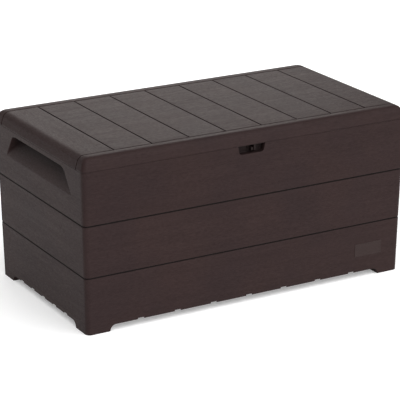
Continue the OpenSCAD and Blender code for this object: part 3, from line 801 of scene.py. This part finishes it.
def resin(name, grain, dark, light, boards=None, swap=None, rough=(0.46, 0.62), relief=0.5):
    """Moulded resin with an embossed wood grain, painted shade darkening its grooves and recesses, and
    rubbed edges.
    """
    material, tree, shader = new_material(name)
    plain = node(tree, "TexCoord").outputs["Object"]
    coords = board_coords(tree, boards)
    fine = grain_vector(tree, coords, GRAIN_SCALES, grain, swap)
    wide = grain_vector(tree, coords, BAND_SCALES, grain, swap)
    streak_inputs = {"Vector": fine, "Scale": 1.0, "Detail": 5.0, "Roughness": 0.6, "Distortion": 0.35}
    streaks = node(tree, "TexNoise", streak_inputs).outputs["Fac"]
    band_inputs = {"Vector": wide, "Scale": 1.0, "Detail": 3.0, "Roughness": 0.5, "Distortion": 1.1}
    bands = node(tree, "TexNoise", band_inputs).outputs["Fac"]
    grit = node(tree, "TexNoise", {"Vector": plain, "Scale": 330.0, "Detail": 4.0}).outputs["Fac"]
    patches = node(tree, "TexNoise", {"Vector": plain, "Scale": 5.0, "Detail": 3.0}).outputs["Fac"]
    streak_part = math_node(tree, "MULTIPLY", streaks, STREAK_SHARE)
    grain_sum = math_node(tree, "ADD", streak_part, math_node(tree, "MULTIPLY", bands, BAND_SHARE))
    spread = node(tree, "MapRange", {"Value": grain_sum, "From Min": 0.36, "From Max": 0.64}).outputs[0]
    plain_colour = mix_colour(tree, spread, dark, light)
    tint_share = node(tree, "MapRange", {"Value": patches, "From Min": 0.35, "From Max": 0.65}).outputs[0]
    tint = mix_colour(tree, tint_share, COOL_TINT, WARM_TINT)
    tinted = mix_colour(tree, 1.0, plain_colour, tint, "MULTIPLY")
    # Painted shade in the grooves and recesses, taken from the groove mask on the mesh.
    groove = node(tree, "Attribute", attribute_name="groove").outputs["Fac"]
    groove_shaded = mix_colour(tree, math_node(tree, "MULTIPLY", groove, GROOVE_PAINTED_SHADE), tinted, PAINTED_SHADE_COLOUR)
    worn = edge_wear(tree, RUB_R, streaks)
    colour = mix_colour(tree, math_node(tree, "MULTIPLY", worn, RUB_SHARE), groove_shaded, RUBBED)
    height = math_node(tree, "ADD", grain_sum, math_node(tree, "MULTIPLY", grit, GRIT_SHARE))
    bump = node(tree, "Bump", {"Strength": relief, "Distance": RELIEF_H, "Height": height}).outputs[0]
    rough_inputs = {"From Min": 0.35, "From Max": 0.65, "To Min": rough[1], "To Max": rough[0]}
    roughness = node(tree, "MapRange", {"Value": grain_sum, **rough_inputs}).outputs[0]
    shader.inputs["Specular IOR Level"].default_value = 0.1
    tree.links.new(colour, shader.inputs["Base Color"])
    tree.links.new(roughness, shader.inputs["Roughness"])
    tree.links.new(bump, shader.inputs["Normal"])
    return material


METAL_SHADE = 0.78
METAL_RUB_R = 0.8 * MM
METAL_RUB_SHARE = 0.5
SCRATCH_H = 0.1 * MM


def metal(name, colour, rough, scratch_axis="X", metallic=1.0, wear=(0.8, 0.8, 0.8, 1)):
    """Plated, polished or painted metal with fine drawn scratches and rubbed edges."""
    material, tree, shader = new_material(name)
    coords = node(tree, "TexCoord").outputs["Object"]
    drawn = node(tree, "Mapping", {"Vector": coords, "Scale": GRAIN_SCALES[scratch_axis]}).outputs[0]
    lines = node(tree, "TexNoise", {"Vector": drawn, "Scale": 6.0, "Detail": 4.0}).outputs["Fac"]
    clouds = node(tree, "TexNoise", {"Vector": coords, "Scale": 60.0, "Detail": 4.0}).outputs["Fac"]
    shade = node(tree, "MapRange", {"Value": clouds, "From Min": 0.3, "From Max": 0.7}).outputs[0]
    deep = tuple(c * METAL_SHADE for c in colour[:3]) + (1,)
    clouded = mix_colour(tree, shade, deep, colour)
    worn = edge_wear(tree, METAL_RUB_R, clouds)
    base = mix_colour(tree, math_node(tree, "MULTIPLY", worn, METAL_RUB_SHARE), clouded, wear)
    rough_inputs = {"From Min": 0.3, "From Max": 0.7, "To Min": rough[0], "To Max": rough[1]}
    roughness = node(tree, "MapRange", {"Value": lines, **rough_inputs}).outputs[0]
    bump = node(tree, "Bump", {"Strength": 0.25, "Distance": SCRATCH_H, "Height": lines}).outputs[0]
    shader.inputs["Metallic"].default_value = metallic
    tree.links.new(base, shader.inputs["Base Color"])
    tree.links.new(roughness, shader.inputs["Roughness"])
    tree.links.new(bump, shader.inputs["Normal"])
    return material


FLOOR_DARK = (0.86, 0.86, 0.86, 1)
FLOOR_LIGHT = (0.88, 0.88, 0.88, 1)


def floor_material():
    material, tree, shader = new_material("studio_floor")
    coords = node(tree, "TexCoord").outputs["Object"]
    cloud = node(tree, "TexNoise", {"Vector": coords, "Scale": 3.0, "Detail": 3.0}).outputs["Fac"]
    tree.links.new(mix_colour(tree, cloud, FLOOR_DARK, FLOOR_LIGHT), shader.inputs["Base Color"])
    shader.inputs["Roughness"].default_value = 0.9
    shader.inputs["Emission Color"].default_value = (1, 1, 1, 1)
    shader.inputs["Emission Strength"].default_value = 0.28
    return material


# Linear colours, with alpha
DARK_RESIN = (0.0205, 0.0115, 0.0112, 1)
LIGHT_RESIN = (0.0290, 0.0168, 0.0163, 1)
# Lock lugs: the wall resin painted darker, as painted shade for the padlock recess they sit in.
LUG_SHADED_DARK = (0.009, 0.005, 0.005, 1)
LUG_SHADED_LIGHT = (0.013, 0.0075, 0.007, 1)
DARK_BADGE = (0.029, 0.019, 0.0185, 1)
LIGHT_BADGE = (0.034, 0.023, 0.022, 1)

# Boards as (axis across them, where they start, width)
WALL_BOARD_W = BOARD_GROOVES[1] - BOARD_GROOVES[0]
WALL_BOARDS = ("Z", BOARD_GROOVES[0] - WALL_BOARD_W, WALL_BOARD_W)
TOP_BOARDS = ("X", -HALF_W, 2 * HALF_W / LID_BOARDS)
ACROSS_STRIPS = ("X", NOSE_Y, REAR_Y)

materials = {
    "long": resin("resin_long_walls", "X", DARK_RESIN, LIGHT_RESIN, WALL_BOARDS),
    "end": resin("resin_end_walls", "Y", DARK_RESIN, LIGHT_RESIN, WALL_BOARDS),
    "lid": resin("resin_lid", "Y", DARK_RESIN, LIGHT_RESIN, TOP_BOARDS, ACROSS_STRIPS),
    "inner": resin("resin_inner", "X", DARK_RESIN, LIGHT_RESIN, relief=0.2),
    # Lugs: a darker copy of the resin, as painted shade.
    "lug": resin("resin_lugs_painted_shade", "Z", LUG_SHADED_DARK, LUG_SHADED_LIGHT, relief=0.2),
    "badge": resin("resin_badge", "X", DARK_BADGE, LIGHT_BADGE, relief=0.12),
    "black": resin("black_plastic", "X", srgb(22, 22, 23), srgb(34, 34, 35), relief=0.15),
    "enamel": metal("black_enamel", srgb(20, 20, 21), (0.28, 0.4), "Z", 0.0, srgb(70, 70, 72)),
    "zinc": metal("zinc_steel", srgb(176, 178, 180), (0.3, 0.46), "Y"),
    "polished": metal("polished_steel", srgb(205, 207, 210), (0.1, 0.2), "Z"),
}


# ---- pieces ----


def dress(piece, material, body, slot_name, *nodes):
    """Gives a new piece its material and its body, and hides the CAD nodes it stands for. slot_name is not
    used.
    """
    piece.data.materials.append(materials[material])
    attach(piece, body)
    if nodes:
        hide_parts(*nodes)
    return piece


def make_walls():
    front = front_wall()
    thicken(front, WALL_T)
    dress(front, "long", "box", "wall_resin", "front_wall", "padlock_pocket")
    rear = rear_wall()
    thicken(rear, WALL_T)
    dress(rear, "long", "box", "wall_resin", "rear_wall")
    for side in ("left", "right"):
        piece = end_wall(side)
        thicken(piece, WALL_T)
        dress(piece, "end", "box", "wall_resin", side + "_wall")


def make_posts():
    """Columns behind the rounded corners of the long walls."""
    for end_name, end in (("front", -1), ("rear", 1)):
        for side_name, side in (("left", -1), ("right", 1)):
            post = corner_post(f"corner_post_{end_name}_{side_name}", side, end)
            soften(post, 0.8 * MM)
            dress(post, "long", "box", "wall_resin", end_name + "_wall")


def make_lid():
    lid = lid_skin()
    thicken(lid, LID_T)
    dress(lid, "lid", "lid", "lid_resin", "lid_shell")


BADGE_R = 3 * MM
BADGE_RIM = 2.4 * MM
BADGE_PROUD = 1.3 * MM
# (inset from the badge's outline, height above the wall), from its foot over the rim to its sunken face
BADGE_PROFILE = [
    (0, -0.5 * MM),
    (0, 0.8 * BADGE_PROUD),
    (0.3 * MM, BADGE_PROUD),
    (BADGE_RIM, BADGE_PROUD),
    (BADGE_RIM + 0.5 * MM, 0.35 * BADGE_PROUD),
    (BADGE_RIM + 1.2 * MM, 0.3 * BADGE_PROUD),
]


def rounded_box(low, high, r, inset):
    """Outline of a rounded rectangle as (x, z), counterclockwise."""
    r = max(r - inset, 0.4 * MM)
    x0, x1 = low[0] + inset + r, high[0] - inset - r
    z0, z1 = low[1] + inset + r, high[1] - inset - r
    return (arc(x1, z0, r, -90, 0) + arc(x1, z1, r, 0, 90)
            + arc(x0, z1, r, 90, 180) + arc(x0, z0, r, 180, 270))


def make_badge():
    """Blank plate with a raised rim, proud of the leaning front wall."""
    low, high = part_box("nameplate")
    low, high = (low.x, low.z), (high.x, high.z)
    skin = Skin()
    rings = []
    for inset, proud in BADGE_PROFILE:
        points = rounded_box(low, high, BADGE_R, inset)
        rings.append([skin.add((x, -half_y(z) - proud, z)) for x, z in points])
    for outer, inner in zip(rings, rings[1:]):
        skin.band(outer + outer[:1], inner + inner[:1])
    skin.face(*rings[-1])
    skin.face(*reversed(rings[0]))
    badge = tidy_normals(skin.build("badge"))
    soften(badge, 0.15 * MM)
    dress(badge, "badge", "box", "wall_resin", "nameplate")


# (start of the node's name, material, edge softness in mm)
CAD_FINISHES = [
    ("floor_panel", "inner", 0.8),
    ("foot_", "long", 0.8),
    ("joiner_", "inner", 0.6),
    ("box_lock_lug", "lug", 0.8),
    ("lid_lock_lug", "lug", 0.8),
    ("lid_liner", "inner", 0.6),
    ("hinge_box_leaf", "black", 0.6),
    ("hinge_lid_leaf", "black", 0.6),
    ("hinge_pin", "zinc", 0.3),
    ("hinge_wall_screws", "zinc", 0.35),
    ("hinge_lid_screws", "zinc", 0.35),
    ("bracket_wall_screws", "zinc", 0.35),
    ("bracket_lid_screws", "zinc", 0.35),
    ("strut_wall_bracket", "zinc", 0.5),
    ("strut_lid_bracket", "zinc", 0.5),
    ("strut_wall_pin", "zinc", 0.3),
    ("strut_lid_pin", "zinc", 0.3),
    ("strut_tube_eye", "black", 0.5),
    ("strut_rod_eye", "black", 0.5),
    ("strut_gland", "black", 0.3),
    ("strut_tube", "enamel", 0.6),
    ("strut_rod", "polished", 0.3),
]


def finish_cad_nodes():
    """Materials and soft edges for the CAD nodes whose shape is kept."""
    for name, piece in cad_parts.items():
        if piece.hide_render:
            continue
        for prefix, material, width in CAD_FINISHES:
            if name.startswith(prefix):
                piece.data.materials.clear()
                piece.data.materials.append(materials[material])
                soften(piece, width * MM)
                break


# ---- stage ----


def make_stage():
    mesh = bpy.data.meshes.new("studio_floor")
    shape = bmesh.new()
    bmesh.ops.create_grid(shape, x_segments=4, y_segments=4, size=14)
    shape.to_mesh(mesh)
    shape.free()
    mesh.materials.append(floor_material())
    floor = bpy.data.objects.new("studio_floor", mesh)
    bpy.context.scene.collection.objects.link(floor)


AIM = (0, 0, TOP_Z / 2)
WARM_WHITE = (1, 0.965, 0.93)
SOFT_WHITE = (1, 0.98, 0.96)
CAMERA_PLACE = (-3.2959, -5.7333, 2.5454)
CAMERA_DOWN = 18.946
CAMERA_TURN = -29.868
CAMERA_LENS = 174.1


def area_light(name, place, size, power, colour):
    """Rectangular light turned to the middle of the box."""
    data = bpy.data.lights.new(name, "AREA")
    data.shape = "RECTANGLE"
    data.size = size[0]
    data.size_y = size[1]
    data.energy = power
    data.color = colour
    light = bpy.data.objects.new(name, data)
    light.location = place
    direction = [a - p for a, p in zip(AIM, place)]
    flat = math.hypot(direction[0], direction[1])
    light.rotation_euler = (math.atan2(flat, -direction[2]), 0, math.atan2(-direction[0], direction[1]))
    bpy.context.scene.collection.objects.link(light)


def dome_light(name, power, spread, rise, turn):
    """Sunlight spread so wide that it lights like a dome."""
    data = bpy.data.lights.new(name, "SUN")
    data.energy = power
    data.angle = math.radians(spread)
    light = bpy.data.objects.new(name, data)
    light.rotation_euler = (math.radians(rise), 0, math.radians(turn))
    bpy.context.scene.collection.objects.link(light)


def make_lights():
    world = bpy.data.worlds.new("studio_air")
    world.use_nodes = True
    world.node_tree.nodes["Background"].inputs["Color"].default_value = (1, 1, 1, 1)
    world.node_tree.nodes["Background"].inputs["Strength"].default_value = 0.36
    bpy.context.scene.world = world
    area_light("back_softbox", (1.8, 4.4, 2.3), (3.6, 1.8), 58, WARM_WHITE)
    area_light("left_softbox", (-2.2, 4.0, 3.0), (2.4, 2.0), 22, SOFT_WHITE)
    dome_light("front_dome", 3.25, 90, 46, 11)


def make_camera():
    data = bpy.data.cameras.new("camera")
    data.sensor_width = 36
    data.lens = CAMERA_LENS
    camera = bpy.data.objects.new("camera", data)
    camera.location = CAMERA_PLACE
    camera.rotation_euler = (math.radians(90 - CAMERA_DOWN), 0, math.radians(CAMERA_TURN))
    bpy.context.scene.collection.objects.link(camera)
    bpy.context.scene.camera = camera
    bpy.context.scene.view_settings.view_transform = "Standard"


make_walls()
make_posts()
make_lid()
make_badge()
finish_cad_nodes()
make_stage()
make_lights()
make_camera()
